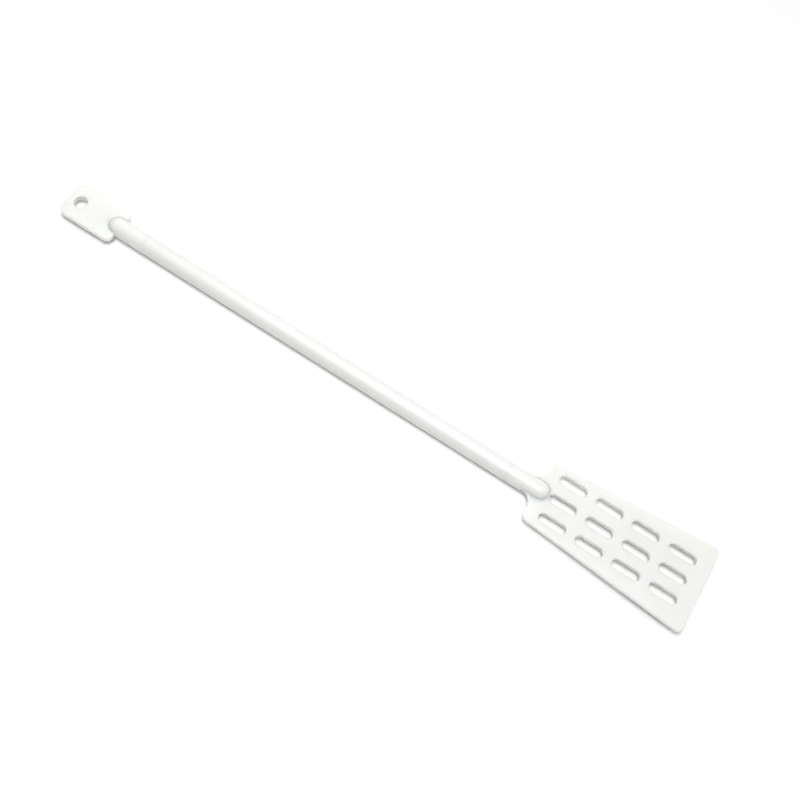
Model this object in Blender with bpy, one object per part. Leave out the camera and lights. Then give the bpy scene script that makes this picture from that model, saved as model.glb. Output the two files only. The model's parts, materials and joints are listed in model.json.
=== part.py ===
"""Plastic stirring paddle: a slotted blade and a hanging tab, each held in the domed, slotted socket
that closes one end of a round tube.

Metres, +Z up. X runs along the paddle from the tab to the blade, and the origin is on the surface
that the handle lies on, midway along the paddle. The plates share the middle plane of the handle.
"""
import math

import bmesh
import bpy

# Driving dimensions
OVERALL_LENGTH = 0.600
HANDLE_DIAMETER = 0.016
TUBE_WALL = 0.002
FIT_GAP = 0.0003

BLADE_LENGTH = 0.1475
BLADE_NARROW_WIDTH = 0.0547
BLADE_WIDE_WIDTH = 0.0777
BLADE_THICKNESS = 0.0045
BLADE_NARROW_CORNER = 0.006
BLADE_WIDE_CORNER = 0.0046
NECK_FILLET = 0.010

SLOT_LENGTH = 0.0243
SLOT_WIDTH = 0.0079
SLOT_COLUMNS = 4
SLOT_ROWS = 3
SLOT_PITCH_ALONG = 0.0328
SLOT_PITCH_ACROSS = 0.01835
FIRST_SLOT_FROM_NARROW_END = 0.0240

TAB_LENGTH = 0.0512
TAB_WIDTH = 0.0334
TAB_THICKNESS = 0.0055
TAB_CORNER = 0.006
HANGING_HOLE_DIAMETER = 0.0110
HANGING_HOLE_FROM_END = 0.0107

BLADE_DOME_OVERLAP = 0.0106
TAB_DOME_OVERLAP = 0.0098
SOCKET_LENGTH = 0.036
SPIGOT_LENGTH = 0.020
TANG_WIDTH = 0.007
TANG_LENGTH = 0.010
EDGE_ROUNDING = 0.0004

ROUND_STEPS = 64
DOME_STEPS = 14
CORNER_STEPS = 8
SLOT_END_STEPS = 12
HOLE_STEPS = 32

WHITE_PLASTIC = (0.86, 0.86, 0.845, 1.0)
PLASTIC_ROUGHNESS = 0.34

# Places along X and the height of the handle's axis
HANDLE_RADIUS = HANDLE_DIAMETER / 2
TAB_OUTER_X = -OVERALL_LENGTH / 2
TAB_INNER_X = TAB_OUTER_X + TAB_LENGTH
BLADE_WIDE_X = OVERALL_LENGTH / 2
BLADE_NARROW_X = BLADE_WIDE_X - BLADE_LENGTH
TAB_DOME_X = TAB_INNER_X - TAB_DOME_OVERLAP
BLADE_DOME_X = BLADE_NARROW_X + BLADE_DOME_OVERLAP
NECK_X = BLADE_NARROW_X - NECK_FILLET


def clear_scene():
    for old in list(bpy.data.objects):
        bpy.data.objects.remove(old, do_unlink=True)


def plastic(name):
    """White moulded plastic, one material for each sub-part."""
    material = bpy.data.materials.new(name)
    material.use_nodes = True
    shader = material.node_tree.nodes["Principled BSDF"]
    shader.inputs["Base Color"].default_value = WHITE_PLASTIC
    shader.inputs["Roughness"].default_value = PLASTIC_ROUGHNESS
    shader.inputs["Metallic"].default_value = 0.0
    material.diffuse_color = WHITE_PLASTIC
    return material


def place(name, data, x=0.0):
    """Link a new object with its origin on the handle's axis, at x along the paddle."""
    part = bpy.data.objects.new(name, data)
    part.location = (x, 0.0, HANDLE_RADIUS)
    data.materials.append(plastic(name + "_plastic"))
    bpy.context.scene.collection.objects.link(part)
    return part


# Flat outlines

def arc(centre, radius, start, sweep, steps):
    """Points on a circular arc, both ends included."""
    angles = [start + sweep * i / steps for i in range(steps + 1)]
    return [(centre[0] + radius * math.cos(a), centre[1] + radius * math.sin(a)) for a in angles]


def rounded_corner(before, corner, after, radius):
    """The arc that rounds one corner of an outline, tangent to both of its sides."""
    if radius == 0:
        return [corner]
    to_before = math.atan2(before[1] - corner[1], before[0] - corner[0])
    to_after = math.atan2(after[1] - corner[1], after[0] - corner[0])
    turn = math.remainder(to_after - to_before, 2 * math.pi)
    middle = to_before + turn / 2
    reach = radius / math.sin(abs(turn) / 2)
    centre = (corner[0] + reach * math.cos(middle), corner[1] + reach * math.sin(middle))
    side = math.copysign(math.pi / 2, turn)
    sweep = turn - math.copysign(math.pi, turn)
    return arc(centre, radius, to_before - side, sweep, CORNER_STEPS)


def symmetric_outline(corners):
    """Close a half outline of (x, y, radius) corners by its mirror image across the X axis."""
    loop = corners + [(x, -y, radius) for x, y, radius in reversed(corners)]
    points = []
    for i, (x, y, radius) in enumerate(loop):
        before, after = loop[i - 1], loop[(i + 1) % len(loop)]
        points += rounded_corner(before[:2], (x, y), after[:2], radius)
    return points


def stadium(centre, length, width):
    """A slot's outline, with round ends and its length along X."""
    reach, radius = (length - width) / 2, width / 2
    right = arc((centre[0] + reach, centre[1]), radius, -math.pi / 2, math.pi, SLOT_END_STEPS)
    left = arc((centre[0] - reach, centre[1]), radius, math.pi / 2, math.pi, SLOT_END_STEPS)
    return right + left


def circle(centre, diameter):
    return arc(centre, diameter / 2, 0.0, 2 * math.pi, HOLE_STEPS)[:-1]


def plate(name, outline, openings, thickness):
    """A flat plate on the handle's middle plane, with its rims rounded, as a filled flat curve."""
    curve = bpy.data.curves.new(name, "CURVE")
    curve.dimensions = "2D"
    curve.fill_mode = "BOTH"
    for loop in [outline] + openings:
        spline = curve.splines.new("POLY")
        spline.points.add(len(loop) - 1)
        for point, (x, y) in zip(spline.points, loop):
            point.co = (x, y, 0.0, 1.0)
        spline.use_cyclic_u = True
    curve.bevel_depth = EDGE_ROUNDING
    curve.bevel_resolution = 1
    curve.extrude = thickness / 2 - EDGE_ROUNDING
    curve.offset = -EDGE_ROUNDING
    return place(name, curve)


# Turned and slotted solids

def turned(name, profile, x):
    """Spin a closed (x, radius) profile about the handle's axis; radius 0 closes on the axis."""
    bm = bmesh.new()
    rings = []
    for along, radius in profile:
        if radius == 0:
            rings.append([bm.verts.new((along, 0.0, 0.0))])
            continue
        points = arc((0.0, 0.0), radius, 0.0, 2 * math.pi, ROUND_STEPS)[:-1]
        rings.append([bm.verts.new((along, y, z)) for y, z in points])
    for ring, following in zip(rings, rings[1:] + rings[:1]):
        for i in range(ROUND_STEPS):
            j = (i + 1) % ROUND_STEPS
            if len(ring) == 1 and len(following) == 1:
                break
            if len(ring) == 1:
                bm.faces.new((ring[0], following[i], following[j]))
            elif len(following) == 1:
                bm.faces.new((ring[i], following[0], ring[j]))
            else:
                bm.faces.new((ring[i], following[i], following[j], ring[j]))
    bmesh.ops.recalc_face_normals(bm, faces=bm.faces)
    mesh = bpy.data.meshes.new(name)
    bm.to_mesh(mesh)
    bm.free()
    mesh.shade_smooth()
    mesh.set_sharp_from_angle(angle=math.radians(35))
    return place(name, mesh, x)


def box_cutter(name, low, high, socket):
    """A box that is cut out of a socket; low and high are corners measured from the handle's axis."""
    bm = bmesh.new()
    bmesh.ops.create_cube(bm, size=1.0)
    for vert in bm.verts:
        vert.co = [(a + b) / 2 + c * (b - a) for a, b, c in zip(low, high, vert.co)]
    mesh = bpy.data.meshes.new(name)
    bm.to_mesh(mesh)
    bm.free()
    cutter = place(name, mesh)
    cutter.hide_render = True
    cutter.display_type = "WIRE"
    cut = socket.modifiers.new(name, "BOOLEAN")
    cut.operation = "DIFFERENCE"
    cut.object = cutter
    return cutter


def socket(name, dome_x, facing, plate_start_x, tang_end_x, thickness):
    """A solid plug with a spigot in the tube and a dome over the plate, sawn open for the plate.

    facing is +1 where the dome points to +X and -1 where it points to -X.
    """
    spigot_radius = HANDLE_RADIUS - TUBE_WALL - FIT_GAP
    shoulder = HANDLE_RADIUS - SOCKET_LENGTH
    spigot_end = shoulder - SPIGOT_LENGTH
    dome = arc((0.0, 0.0), HANDLE_RADIUS, math.pi / 2, -math.pi / 2, DOME_STEPS)[:-1]
    profile = [
        (spigot_end, 0.0),
        (spigot_end, spigot_radius - EDGE_ROUNDING),
        (spigot_end + EDGE_ROUNDING, spigot_radius),
        (shoulder, spigot_radius),
        (shoulder, HANDLE_RADIUS),
    ]
    profile += dome + [(HANDLE_RADIUS, 0.0)]
    body = turned(name, [(facing * along, radius) for along, radius in profile],
                  dome_x - facing * HANDLE_RADIUS)

    half_height = thickness / 2 + FIT_GAP
    half_tang = TANG_WIDTH / 2 + FIT_GAP
    past_tip = dome_x + facing * HANDLE_RADIUS
    mouth = sorted((plate_start_x - facing * FIT_GAP, past_tip))
    pocket = sorted((tang_end_x - facing * FIT_GAP, past_tip))
    box_cutter(name + "_mouth_cut", (mouth[0], -HANDLE_DIAMETER, -half_height),
               (mouth[1], HANDLE_DIAMETER, half_height), body)
    box_cutter(name + "_pocket_cut", (pocket[0], -half_tang, -half_height),
               (pocket[1], half_tang, half_height), body)
    return body


# The sub-parts

def make_slotted_blade():
    half_tang = TANG_WIDTH / 2
    corners = [
        (NECK_X - TANG_LENGTH, half_tang, EDGE_ROUNDING * 2),
        (NECK_X, half_tang, 0),
        (NECK_X, HANDLE_RADIUS, 0),
        (BLADE_NARROW_X, HANDLE_RADIUS, NECK_FILLET * 0.98),
        (BLADE_NARROW_X, BLADE_NARROW_WIDTH / 2, BLADE_NARROW_CORNER),
        (BLADE_WIDE_X, BLADE_WIDE_WIDTH / 2, BLADE_WIDE_CORNER),
    ]
    first_x = BLADE_NARROW_X + FIRST_SLOT_FROM_NARROW_END
    slots = []
    for row in range(SLOT_ROWS):
        y = (row - (SLOT_ROWS - 1) / 2) * SLOT_PITCH_ACROSS
        for column in range(SLOT_COLUMNS):
            slots.append(stadium((first_x + column * SLOT_PITCH_ALONG, y), SLOT_LENGTH, SLOT_WIDTH))
    plate("slotted_blade", symmetric_outline(corners), slots, BLADE_THICKNESS)


def make_hanging_tab():
    half_tang = TANG_WIDTH / 2
    corners = [
        (TAB_OUTER_X, TAB_WIDTH / 2, TAB_CORNER),
        (TAB_INNER_X, TAB_WIDTH / 2, TAB_CORNER),
        (TAB_INNER_X, half_tang, 0),
        (TAB_INNER_X + TANG_LENGTH, half_tang, EDGE_ROUNDING * 2),
    ]
    hole = circle((TAB_OUTER_X + HANGING_HOLE_FROM_END, 0.0), HANGING_HOLE_DIAMETER)
    plate("hanging_tab", symmetric_outline(corners), [hole], TAB_THICKNESS)


def make_handle_tube():
    start = TAB_DOME_X + SOCKET_LENGTH + FIT_GAP
    length = BLADE_DOME_X - SOCKET_LENGTH - FIT_GAP - start
    bore_radius = HANDLE_RADIUS - TUBE_WALL
    profile = [
        (0.0, bore_radius),
        (0.0, HANDLE_RADIUS),
        (length, HANDLE_RADIUS),
        (length, bore_radius),
    ]
    turned("handle_tube", profile, start)


def make_sockets():
    socket("blade_socket", BLADE_DOME_X, 1, NECK_X, NECK_X - TANG_LENGTH, BLADE_THICKNESS)
    socket("tab_socket", TAB_DOME_X, -1, TAB_INNER_X, TAB_INNER_X + TANG_LENGTH, TAB_THICKNESS)


clear_scene()
make_slotted_blade()
make_hanging_tab()
make_handle_tube()
make_sockets()
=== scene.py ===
import json
import math

import bmesh
import bpy
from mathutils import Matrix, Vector


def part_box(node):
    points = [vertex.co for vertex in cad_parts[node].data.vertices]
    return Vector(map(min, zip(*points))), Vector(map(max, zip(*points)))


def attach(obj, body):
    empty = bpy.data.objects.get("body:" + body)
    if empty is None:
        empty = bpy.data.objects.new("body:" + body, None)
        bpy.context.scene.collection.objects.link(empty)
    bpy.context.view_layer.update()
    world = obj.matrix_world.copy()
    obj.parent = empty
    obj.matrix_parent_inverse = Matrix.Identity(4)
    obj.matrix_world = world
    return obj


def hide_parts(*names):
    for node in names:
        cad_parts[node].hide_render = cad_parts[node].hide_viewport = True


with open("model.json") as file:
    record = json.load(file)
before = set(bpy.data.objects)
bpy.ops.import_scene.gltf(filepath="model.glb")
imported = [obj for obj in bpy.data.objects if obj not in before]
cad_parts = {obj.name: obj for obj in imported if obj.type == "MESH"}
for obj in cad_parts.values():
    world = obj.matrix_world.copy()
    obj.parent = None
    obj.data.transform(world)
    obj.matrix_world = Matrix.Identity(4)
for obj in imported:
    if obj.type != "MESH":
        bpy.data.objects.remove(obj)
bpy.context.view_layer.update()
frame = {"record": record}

# Sizes that the frame's boxes don't give
BLADE_LENGTH = 0.1475
BLADE_NARROW_WIDTH = 0.0547
BLADE_WIDE_WIDTH = 0.07767
BLADE_NARROW_CORNER = 0.006
BLADE_WIDE_CORNER = 0.0046
NECK_LENGTH = 0.010
NECK_FILLET = 0.0098
SLOT_LENGTH = 0.0243
SLOT_WIDTH = 0.0079
TAB_LENGTH = 0.0512
TAB_CORNER = 0.006
HANGING_HOLE_DIAMETER = 0.0110
TANG_WIDTH = 0.007
TANG_CORNER = 0.0012
TUBE_WALL = 0.002
SPIGOT_LENGTH = 0.020
SPIGOT_CLEARANCE = 0.0001
CAD_GAP = 0.0003

# Fine shape of the mouldings
RIM_RADIUS = 0.00055
RIM_MARGIN = 0.0010
SIDE_DRAFT = 0.00004
PARTING_HEIGHT = 0.00003
PARTING_HALF_WIDTH = 0.00012
BUTT_CHAMFER = 0.00006
SLIDING_FIT = 0.00002
BEAD_SIZE = 0.0007
BEAD_TAPER = 0.003
BEAD_LEAST = 0.08
SHARP_ANGLE = math.radians(32)

RIM_STEPS = 5
CORNER_STEPS = 14
SLOT_END_STEPS = 24
HOLE_STEPS = 64
ROUND_STEPS = 128
DOME_STEPS = 32
BEAD_STEPS = 6
BEAD_STRAIGHT_STEPS = 12

# The plastic's fine look: noise scales in features to the metre, noise levels between which a mark
# fades in, and bump heights in metres
CLOUD_SCALE = 26.0
CLOUD_LEVELS = (0.35, 0.65)
SPECK_SCALE = 700.0
SPECK_LEVELS = (0.76, 0.80)
SPECK_STRENGTH = 0.35
SPECK_SHADE = 0.72
WEAR_SCALE = 120.0
WEAR_LEVELS = (0.40, 0.60)
WEAR_LEAST = 0.2
WORN_LIGHTENING = 1.05
WORN_POLISH = 0.02
SCRATCH_SCALE = 2040.0
SCRATCH_STRETCH = (68.0, 1.0, 1.0)
SCRATCH_LEVELS = (0.70, 0.73)
SCRATCH_ROUGHENING = 0.16
SCRATCH_HEIGHT, SCRATCH_STRENGTH = 0.00003, 0.30
SMUDGE_SCALE = 45.0
SMUDGE_LEVELS = (0.30, 0.70)
SMUDGE_POLISH, SMUDGE_ROUGHENING = 0.05, 0.07
GRAIN_HEIGHT, GRAIN_STRENGTH = 0.00004, 0.35
RIPPLE_SCALE = 75.0
RIPPLE_HEIGHT, RIPPLE_STRENGTH = 0.0002, 0.10
TRANSLUCENT_TINT = (1.0, 0.92, 0.80)

# Studio
TABLE_REACH = 3.0
WORLD_STRENGTH = 0.125
MIDDLE = (0.0, 0.0, 0.0)
LIGHTS = (  # name, place, diameter, power in watts
    ("overhead", (-0.1, -0.1, 1.6), 0.7, 15.8),
    ("camera_side", (0.1, -0.5, 1.5), 0.5, 4.1),
    ("behind_high", (-0.2, 0.6, 1.5), 0.5, 4.4),
    ("behind_left", (-1.0, 0.9, 1.0), 1.2, 4.6),
    ("right", (1.4, 0.3, 0.8), 1.0, 5.0),
)

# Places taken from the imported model
tube_low, tube_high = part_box("handle_tube")
blade_low, blade_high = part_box("slotted_blade")
tab_low, tab_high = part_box("hanging_tab")
blade_socket_low, blade_socket_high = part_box("blade_socket")
tab_socket_low, tab_socket_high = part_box("tab_socket")
openings = {opening["name"]: opening["box_m"] for opening in frame["record"]["physics"]["openings"]}

RADIUS = (tube_high[2] - tube_low[2]) / 2
AXIS_HEIGHT = (tube_high[2] + tube_low[2]) / 2
BLADE_THICKNESS = blade_high[2] - blade_low[2]
TAB_THICKNESS = tab_high[2] - tab_low[2]
TAB_WIDTH = tab_high[1] - tab_low[1]
BLADE_WIDE_X = blade_high[0]
BLADE_NARROW_X = BLADE_WIDE_X - BLADE_LENGTH
NECK_X = BLADE_NARROW_X - NECK_LENGTH
TAB_OUTER_X = tab_low[0]
TAB_INNER_X = TAB_OUTER_X + TAB_LENGTH


def dome_tip(socket_end, thickness, facing):
    """Where the dome's tip would be if its slot hadn't taken it away."""
    cut = thickness / 2 + CAD_GAP
    return socket_end + facing * (RADIUS - math.sqrt(RADIUS ** 2 - cut ** 2))


BLADE_TIP_X = dome_tip(blade_socket_high[0], BLADE_THICKNESS, 1)
TAB_TIP_X = dome_tip(tab_socket_low[0], TAB_THICKNESS, -1)
TAB_JOINT_X = (tube_low[0] + tab_socket_high[0] - SPIGOT_LENGTH) / 2
BLADE_JOINT_X = (tube_high[0] + blade_socket_low[0] + SPIGOT_LENGTH) / 2


# Materials

def new_material(name):
    material = bpy.data.materials.new(name)
    material.use_nodes = True
    nodes, links = material.node_tree.nodes, material.node_tree.links
    return material, nodes, links, nodes["Principled BSDF"]


def noise(nodes, links, coordinates, scale, detail, stretch=(1, 1, 1), turn=0.0):
    """Noise with scale features to the metre, stretched along X, Y and Z and then turned about Z."""
    mapping = nodes.new("ShaderNodeMapping")
    mapping.vector_type = "TEXTURE"
    mapping.inputs["Rotation"].default_value = (0.0, 0.0, turn)
    mapping.inputs["Scale"].default_value = stretch
    texture = nodes.new("ShaderNodeTexNoise")
    texture.inputs["Scale"].default_value = scale
    texture.inputs["Detail"].default_value = detail
    links.new(coordinates, mapping.inputs["Vector"])
    links.new(mapping.outputs["Vector"], texture.inputs["Vector"])
    return texture.outputs["Fac"]


def map_range(nodes, links, value, low, high, to_low, to_high):
    node = nodes.new("ShaderNodeMapRange")
    for socket, number in zip(node.inputs[1:5], (low, high, to_low, to_high)):
        socket.default_value = number
    links.new(value, node.inputs["Value"])
    return node.outputs["Result"]


def combine(nodes, links, operation, first, second):
    node = nodes.new("ShaderNodeMath")
    node.operation = operation
    for socket, value in zip(node.inputs, (first, second)):
        if isinstance(value, float):
            socket.default_value = value
        else:
            links.new(value, socket)
    return node.outputs["Value"]


def blend_colours(nodes, links, factor, first, second):
    node = nodes.new("ShaderNodeMix")
    node.data_type = "RGBA"
    links.new(factor, node.inputs["Factor"])
    for socket, value in zip((node.inputs[6], node.inputs[7]), (first, second)):
        if isinstance(value, tuple):
            socket.default_value = value
        else:
            links.new(value, socket)
    return node.outputs[2]


def bump(nodes, links, height, distance, strength, below=None):
    node = nodes.new("ShaderNodeBump")
    node.inputs["Distance"].default_value = distance
    node.inputs["Strength"].default_value = strength
    links.new(height, node.inputs["Height"])
    if below is not None:
        links.new(below, node.inputs["Normal"])
    return node.outputs["Normal"]


def white_plastic(name, light, dark, roughness, translucency, grain, grain_stretch, scratch_turns):
    """Translucent white moulded plastic: cloudy tone, specks, fine grain, hairline scratches, worn rims."""
    material, nodes, links, shader = new_material(name)
    coordinates = nodes.new("ShaderNodeTexCoord").outputs["Object"]

    clouds = noise(nodes, links, coordinates, CLOUD_SCALE, 3.0)
    tone = blend_colours(nodes, links, map_range(nodes, links, clouds, *CLOUD_LEVELS, 0.0, 1.0), dark, light)
    specks = noise(nodes, links, coordinates, SPECK_SCALE, 1.0)
    speck_mask = map_range(nodes, links, specks, *SPECK_LEVELS, 0.0, SPECK_STRENGTH)
    tone = blend_colours(nodes, links, speck_mask, tone, tuple(SPECK_SHADE * c for c in dark[:3]) + (1.0,))

    wear = nodes.new("ShaderNodeAttribute")
    wear.attribute_name = "edge_wear"
    patchy = noise(nodes, links, coordinates, WEAR_SCALE, 3.0)
    patchy = map_range(nodes, links, patchy, *WEAR_LEVELS, WEAR_LEAST, 1.0)
    wear_mask = combine(nodes, links, "MULTIPLY", wear.outputs["Fac"], patchy)
    worn = tuple(min(1.0, WORN_LIGHTENING * c) for c in light[:3]) + (1.0,)
    tone = blend_colours(nodes, links, wear_mask, tone, worn)
    links.new(tone, shader.inputs["Base Color"])

    scratches = None
    for turn in scratch_turns:
        lines = noise(nodes, links, coordinates, SCRATCH_SCALE, 2.0, SCRATCH_STRETCH, turn)
        lines = map_range(nodes, links, lines, *SCRATCH_LEVELS, 0.0, 1.0)
        scratches = lines if scratches is None else combine(nodes, links, "MAXIMUM", scratches, lines)

    smudges = noise(nodes, links, coordinates, SMUDGE_SCALE, 4.0)
    rough = map_range(nodes, links, smudges, *SMUDGE_LEVELS,
                      roughness - SMUDGE_POLISH, roughness + SMUDGE_ROUGHENING)
    scored = combine(nodes, links, "MULTIPLY", scratches, SCRATCH_ROUGHENING)
    rough = combine(nodes, links, "ADD", rough, scored)
    polished = combine(nodes, links, "MULTIPLY", wear_mask, WORN_POLISH)
    rough = combine(nodes, links, "SUBTRACT", rough, polished)
    links.new(rough, shader.inputs["Roughness"])

    fine = noise(nodes, links, coordinates, grain, 4.0, grain_stretch)
    normal = bump(nodes, links, fine, GRAIN_HEIGHT, GRAIN_STRENGTH)
    ripple = noise(nodes, links, coordinates, RIPPLE_SCALE, 1.0)
    normal = bump(nodes, links, ripple, RIPPLE_HEIGHT, RIPPLE_STRENGTH, normal)
    grooves = combine(nodes, links, "MULTIPLY", scratches, -1.0)
    normal = bump(nodes, links, grooves, SCRATCH_HEIGHT, SCRATCH_STRENGTH, normal)
    links.new(normal, shader.inputs["Normal"])

    shader.inputs["Specular IOR Level"].default_value = 0.5
    weight, depth = translucency
    shader.inputs["Subsurface Weight"].default_value = weight
    shader.inputs["Subsurface Radius"].default_value = TRANSLUCENT_TINT
    shader.inputs["Subsurface Scale"].default_value = depth
    return material


blade_plastic = white_plastic("blade_plastic", (0.812, 0.822, 0.796, 1.0), (0.790, 0.794, 0.761, 1.0),
                              0.35, (1.0, 0.008), 1500.0, (1.0, 1.0, 1.0), (0.15, -0.45, 1.35))
handle_plastic = white_plastic("handle_plastic", (0.830, 0.840, 0.813, 1.0), (0.815, 0.820, 0.787, 1.0),
                               0.34, (0.35, 0.003), 1100.0, (30.0, 1.0, 1.0), (0.02, -0.06))
tab_plastic = white_plastic("tab_plastic", (0.828, 0.840, 0.808, 1.0), (0.808, 0.814, 0.780, 1.0),
                            0.35, (1.0, 0.008), 1500.0, (1.0, 1.0, 1.0), (0.6, -0.3))


# Outlines: lists of (point, outward normal), clockwise round the material as seen from above

def arc(centre, radius, start, sweep, steps, outward=1):
    """Points on an arc with their normals; outward is -1 where the material is outside the arc."""
    points = []
    for i in range(steps + 1):
        angle = start + sweep * i / steps
        radial = Vector((math.cos(angle), math.sin(angle)))
        points.append((Vector(centre) + radius * radial, outward * radial))
    return points


def rounded_corner(before, corner, after, radius):
    """The arc that rounds one corner, tangent to both of its sides."""
    before, corner, after = Vector(before), Vector(corner), Vector(after)
    to_before, to_after = (before - corner).normalized(), (after - corner).normalized()
    middle = (to_before + to_after).normalized()
    half_turn = math.acos(max(-1.0, min(1.0, to_before.dot(middle))))
    centre = corner + middle * (radius / math.sin(half_turn))
    convex = to_before.cross(to_after) > 0
    start_foot = corner + to_before * (radius / math.tan(half_turn)) - centre
    start = math.atan2(start_foot.y, start_foot.x)
    sweep = math.pi - 2 * half_turn
    return arc(centre, radius, start, -sweep if convex else sweep, CORNER_STEPS, 1 if convex else -1)


def symmetric_outline(corners):
    """Close a half outline of (x, y, radius) corners by its mirror image across the X axis."""
    loop = corners + [(x, -y, radius) for x, y, radius in reversed(corners)]
    points = []
    for i, (x, y, radius) in enumerate(loop):
        before, after = loop[i - 1], loop[(i + 1) % len(loop)]
        points += rounded_corner(before[:2], (x, y), after[:2], radius)
    return points


def slot_outline(box):
    """The outline of a round-ended slot that runs along X, centred on an opening's box."""
    x, y = ((box[0][axis] + box[1][axis]) / 2 for axis in (0, 1))
    reach, radius = (SLOT_LENGTH - SLOT_WIDTH) / 2, SLOT_WIDTH / 2
    right = arc((x + reach, y), radius, -math.pi / 2, math.pi, SLOT_END_STEPS, -1)
    left = arc((x - reach, y), radius, math.pi / 2, math.pi, SLOT_END_STEPS, -1)
    return right + left


def hole_outline(box):
    x, y = ((box[0][axis] + box[1][axis]) / 2 for axis in (0, 1))
    return arc((x, y), HANGING_HOLE_DIAMETER / 2, 0.0, 2 * math.pi, HOLE_STEPS, -1)[:-1]


# Meshes

def finish_piece(name, bm, material, replaced):
    """Turn a bmesh into an object that rides on the paddle's one body."""
    bmesh.ops.recalc_face_normals(bm, faces=bm.faces)
    mesh = bpy.data.meshes.new(name)
    bm.to_mesh(mesh)
    bm.free()
    mesh.materials.append(material)
    mesh.shade_smooth()
    mesh.set_sharp_from_angle(angle=SHARP_ANGLE)
    piece = bpy.data.objects.new(name, mesh)
    bpy.context.scene.collection.objects.link(piece)
    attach(piece, "root")
    if replaced:
        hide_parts(replaced)
    return piece


def side_profile(thickness):
    """(inset, height, wear) down a plate's side, from its upper face to its lower face."""
    half = thickness / 2
    upper = [(RIM_RADIUS + RIM_MARGIN, half, 0.0)]
    for i in range(RIM_STEPS + 1):
        angle = math.pi / 2 * i / RIM_STEPS
        inset = SIDE_DRAFT + RIM_RADIUS * (1 - math.sin(angle))
        upper.append((inset, half - RIM_RADIUS * (1 - math.cos(angle)), math.sin(2 * angle)))
    upper.append((PARTING_HEIGHT, 2 * PARTING_HALF_WIDTH, 0.0))
    upper.append((0.0, PARTING_HALF_WIDTH, 0.0))
    return upper + [(inset, -height, wear) for inset, height, wear in reversed(upper)]


def moulded_plate(name, outline, holes, thickness, material, replaced):
    """A flat plate with rounded rims, drafted sides and a parting line round its middle."""
    bm = bmesh.new()
    wear_layer = bm.verts.layers.float.new("edge_wear")
    profile = side_profile(thickness)
    faces = ([], [])
    for loop in [outline] + holes:
        rings = []
        for inset, height, wear in profile:
            ring = []
            for point, normal in loop:
                x, y = point - inset * normal
                vert = bm.verts.new((x, y, AXIS_HEIGHT + height))
                vert[wear_layer] = wear
                ring.append(vert)
            rings.append(ring)
        for ring, below in zip(rings, rings[1:]):
            for i in range(len(ring)):
                bm.faces.new((ring[i - 1], ring[i], below[i], below[i - 1]))
        for face, ring in zip(faces, (rings[0], rings[-1])):
            face += [bm.edges.get((ring[i - 1], ring[i])) for i in range(len(ring))]
    for edges in faces:
        bmesh.ops.triangle_fill(bm, use_beauty=True, edges=edges)
    return finish_piece(name, bm, material, replaced)


def turned(bm, profile):
    """Spin a closed (x, radius) profile about the handle's axis; radius 0 closes on the axis."""
    rings = []
    for x, radius in profile:
        if radius == 0:
            rings.append([bm.verts.new((x, 0.0, AXIS_HEIGHT))])
            continue
        ring = []
        for i in range(ROUND_STEPS):
            angle = 2 * math.pi * i / ROUND_STEPS
            ring.append(bm.verts.new((x, radius * math.cos(angle), AXIS_HEIGHT + radius * math.sin(angle))))
        rings.append(ring)
    for ring, following in zip(rings, rings[1:] + rings[:1]):
        if len(ring) == 1 and len(following) == 1:
            continue
        for i in range(ROUND_STEPS):
            j = (i + 1) % ROUND_STEPS
            corners = [ring[i % len(ring)], ring[j % len(ring)]]
            corners += [following[j % len(following)], following[i % len(following)]]
            bm.faces.new(list(dict.fromkeys(corners)))


def butt_end(x, facing):
    """The chamfered outer corner where the tube and a socket meet."""
    return [(x - facing * BUTT_CHAMFER, RADIUS), (x, RADIUS - BUTT_CHAMFER)]


def handle_tube():
    bore = RADIUS - TUBE_WALL
    start, end = TAB_JOINT_X + SLIDING_FIT / 2, BLADE_JOINT_X - SLIDING_FIT / 2
    bm = bmesh.new()
    turned(bm, [(start, bore)] + butt_end(start, -1)[::-1] + butt_end(end, 1) + [(end, bore)])
    finish_piece("handle_tube_skin", bm, handle_plastic, "handle_tube")


def plug_profile(joint_x, tip_x, facing):
    """A socket's turned profile: spigot, shoulder, barrel and dome."""
    spigot = RADIUS - TUBE_WALL - SPIGOT_CLEARANCE
    shoulder = joint_x + facing * SLIDING_FIT / 2
    centre = tip_x - facing * RADIUS
    profile = [(shoulder - facing * SPIGOT_LENGTH, 0.0), (shoulder - facing * SPIGOT_LENGTH, spigot),
               (shoulder, spigot)]
    profile += butt_end(shoulder, -facing)[::-1]
    for i in range(DOME_STEPS):
        angle = math.pi / 2 * i / DOME_STEPS
        profile.append((centre + facing * RADIUS * math.sin(angle), RADIUS * math.cos(angle)))
    return profile + [(tip_x, 0.0)]


def box_mesh(bm, low, high):
    bmesh.ops.create_cube(bm, size=1.0)
    for vert in bm.verts:
        vert.co = [(a + b) / 2 + c * (b - a) for a, b, c in zip(low, high, vert.co)]


def cut_out(piece, low, high):
    """Cut a box out of a piece's mesh for good."""
    bm = bmesh.new()
    box_mesh(bm, low, high)
    cutter_mesh = bpy.data.meshes.new("cutter")
    bm.to_mesh(cutter_mesh)
    bm.free()
    cutter = bpy.data.objects.new("cutter", cutter_mesh)
    bpy.context.scene.collection.objects.link(cutter)
    cut = piece.modifiers.new("cut", "BOOLEAN")
    cut.operation = "DIFFERENCE"
    cut.object = cutter
    graph = bpy.context.evaluated_depsgraph_get()
    uncut = piece.data
    piece.data = bpy.data.meshes.new_from_object(piece.evaluated_get(graph))
    piece.modifiers.clear()
    bpy.data.meshes.remove(uncut)
    bpy.data.objects.remove(cutter, do_unlink=True)
    bpy.data.meshes.remove(cutter_mesh)
    piece.data.set_sharp_from_angle(angle=SHARP_ANGLE)


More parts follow.
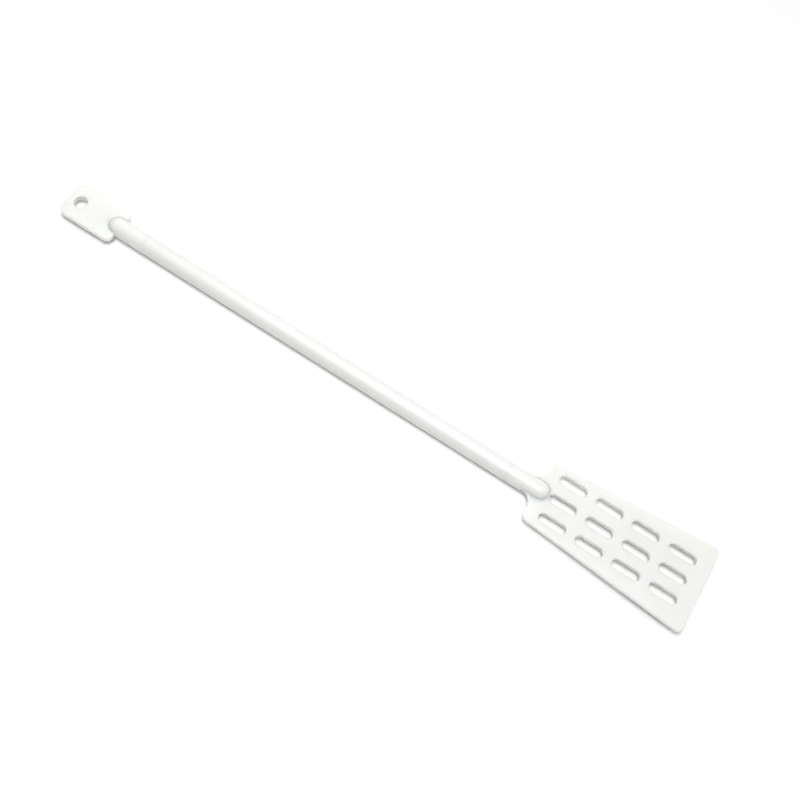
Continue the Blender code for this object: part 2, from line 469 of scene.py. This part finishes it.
def forked_socket(name, joint_x, tip_x, facing, mouth_x, tang_end_x, thickness, replaced):
    """A plug that closes the tube and grips its plate in a slot across its dome."""
    bm = bmesh.new()
    turned(bm, plug_profile(joint_x, tip_x, facing))
    piece = finish_piece(name, bm, handle_plastic, replaced)
    half = thickness / 2 + SLIDING_FIT
    past_tip = tip_x + facing * RADIUS
    for inner_x, half_width in ((mouth_x, 2 * RADIUS), (tang_end_x, TANG_WIDTH / 2 + SLIDING_FIT)):
        low_x, high_x = sorted((inner_x - facing * SLIDING_FIT, past_tip))
        cut_out(piece, (low_x, -half_width, AXIS_HEIGHT - half), (high_x, half_width, AXIS_HEIGHT + half))
    return piece


def fillet_section(size, thickness):
    """(outward, upward) points of a concave fillet between a plate's face and the round socket."""
    half = thickness / 2
    foot = math.sqrt(RADIUS ** 2 - half ** 2)
    section = []
    for i in range(BEAD_STEPS + 1):
        angle = math.pi / 2 * i / BEAD_STEPS
        up = size * (1 - math.cos(angle))
        lean = math.sqrt(RADIUS ** 2 - (half + up) ** 2) - foot
        section.append((size * (1 - math.sin(angle)) + lean, up))
    inside = 2 * SLIDING_FIT
    section.append((section[-1][0] - inside, section[-1][1]))
    section.append((-inside, -inside))
    section.append((size, -inside))
    return section


def fillet_bead(name, start_x, tip_x, facing, thickness):
    """The fillet that runs round a socket's dome on both faces of its plate."""
    foot = math.sqrt(RADIUS ** 2 - (thickness / 2) ** 2)
    centre = tip_x - facing * RADIUS
    straight = []
    for i in range(BEAD_STRAIGHT_STEPS):
        x = start_x + (centre - start_x) * i / BEAD_STRAIGHT_STEPS
        straight.append((Vector((x, foot)), Vector((0.0, 1.0))))
    path = list(straight)
    path += arc((centre, 0.0), foot, math.pi / 2, -facing * math.pi, 4 * CORNER_STEPS)
    path += [(Vector((point.x, -point.y)), -normal) for point, normal in reversed(straight)]
    bm = bmesh.new()
    for side in (1, -1):
        rings = []
        for point, normal in path:
            grown = min(1.0, abs(point.x - start_x) / BEAD_TAPER)
            size = BEAD_SIZE * (BEAD_LEAST + (1 - BEAD_LEAST) * grown * grown * (3 - 2 * grown))
            ring = []
            for out, up in fillet_section(size, thickness):
                x, y = point + out * normal
                ring.append(bm.verts.new((x, y, AXIS_HEIGHT + side * (thickness / 2 + up))))
            rings.append(ring)
        for ring, following in zip(rings, rings[1:]):
            for i in range(len(ring)):
                bm.faces.new((ring[i - 1], ring[i], following[i], following[i - 1]))
        bm.faces.new(rings[0])
        bm.faces.new(rings[-1])
    return finish_piece(name, bm, handle_plastic, None)


def slotted_blade():
    half_tang = TANG_WIDTH / 2
    corners = [
        (blade_low[0], half_tang, TANG_CORNER),
        (NECK_X, half_tang, TANG_CORNER),
        (NECK_X, RADIUS, TANG_CORNER),
        (BLADE_NARROW_X, RADIUS, NECK_FILLET - TANG_CORNER),
        (BLADE_NARROW_X, BLADE_NARROW_WIDTH / 2, BLADE_NARROW_CORNER),
        (BLADE_WIDE_X, BLADE_WIDE_WIDTH / 2, BLADE_WIDE_CORNER),
    ]
    slots = [slot_outline(box) for name, box in openings.items() if name.startswith("blade_slot")]
    moulded_plate("blade_plate", symmetric_outline(corners), slots, BLADE_THICKNESS,
                  blade_plastic, "slotted_blade")


def hanging_tab():
    half_tang = TANG_WIDTH / 2
    corners = [
        (TAB_OUTER_X, TAB_WIDTH / 2, TAB_CORNER),
        (TAB_INNER_X, TAB_WIDTH / 2, TAB_CORNER),
        (TAB_INNER_X, half_tang, TANG_CORNER),
        (tab_high[0], half_tang, TANG_CORNER),
    ]
    moulded_plate("tab_plate", symmetric_outline(corners), [hole_outline(openings["hanging_hole"])],
                  TAB_THICKNESS, tab_plastic, "hanging_tab")


slotted_blade()
hanging_tab()
handle_tube()
forked_socket("blade_socket_shell", BLADE_JOINT_X, BLADE_TIP_X, 1, NECK_X, blade_low[0],
              BLADE_THICKNESS, "blade_socket")
forked_socket("tab_socket_shell", TAB_JOINT_X, TAB_TIP_X, -1, TAB_INNER_X, tab_high[0],
              TAB_THICKNESS, "tab_socket")
fillet_bead("blade_fillet", NECK_X + BEAD_TAPER, BLADE_TIP_X, 1, BLADE_THICKNESS)
fillet_bead("tab_fillet", TAB_INNER_X - 2 * RIM_RADIUS, TAB_TIP_X, -1, TAB_THICKNESS)


# Stage

def make_table():
    corners = [(x * TABLE_REACH, y * TABLE_REACH, 0) for x, y in ((-1, -1), (1, -1), (1, 1), (-1, 1))]
    mesh = bpy.data.meshes.new("table")
    mesh.from_pydata(corners, [], [(0, 1, 2, 3)])
    table = bpy.data.objects.new("table", mesh)
    bpy.context.scene.collection.objects.link(table)
    material, _, _, shader = new_material("table_paper")
    shader.inputs["Base Color"].default_value = (0.98, 0.98, 0.98, 1.0)
    shader.inputs["Roughness"].default_value = 0.9
    shader.inputs["Specular IOR Level"].default_value = 0.1
    mesh.materials.append(material)


def soft_light(name, location, size, power):
    light = bpy.data.lights.new(name, "AREA")
    light.shape = "DISK"
    light.size = size
    light.energy = power
    lamp = bpy.data.objects.new(name, light)
    bpy.context.scene.collection.objects.link(lamp)
    lamp.location = location
    lamp.rotation_euler = (Vector(MIDDLE) - Vector(location)).to_track_quat("-Z", "Y").to_euler()


def make_studio():
    scene = bpy.context.scene
    scene.view_settings.view_transform = "Standard"
    world = bpy.data.worlds.new("studio")
    scene.world = world
    world.use_nodes = True
    background = world.node_tree.nodes["Background"]
    background.inputs["Color"].default_value = (1.0, 1.0, 1.0, 1.0)
    background.inputs["Strength"].default_value = WORLD_STRENGTH
    for name, place, size, power in LIGHTS:
        soft_light(name, place, size, power)


def make_camera():
    data = bpy.data.cameras.new("camera")
    data.lens = 45.0
    data.sensor_width = 36.0
    camera = bpy.data.objects.new("camera", data)
    camera.location = (0.10660, -0.31776, 0.73649)
    camera.rotation_euler = (0.4061, -0.1337, 0.5539)
    bpy.context.scene.collection.objects.link(camera)
    bpy.context.scene.camera = camera


make_table()
make_studio()
make_camera()
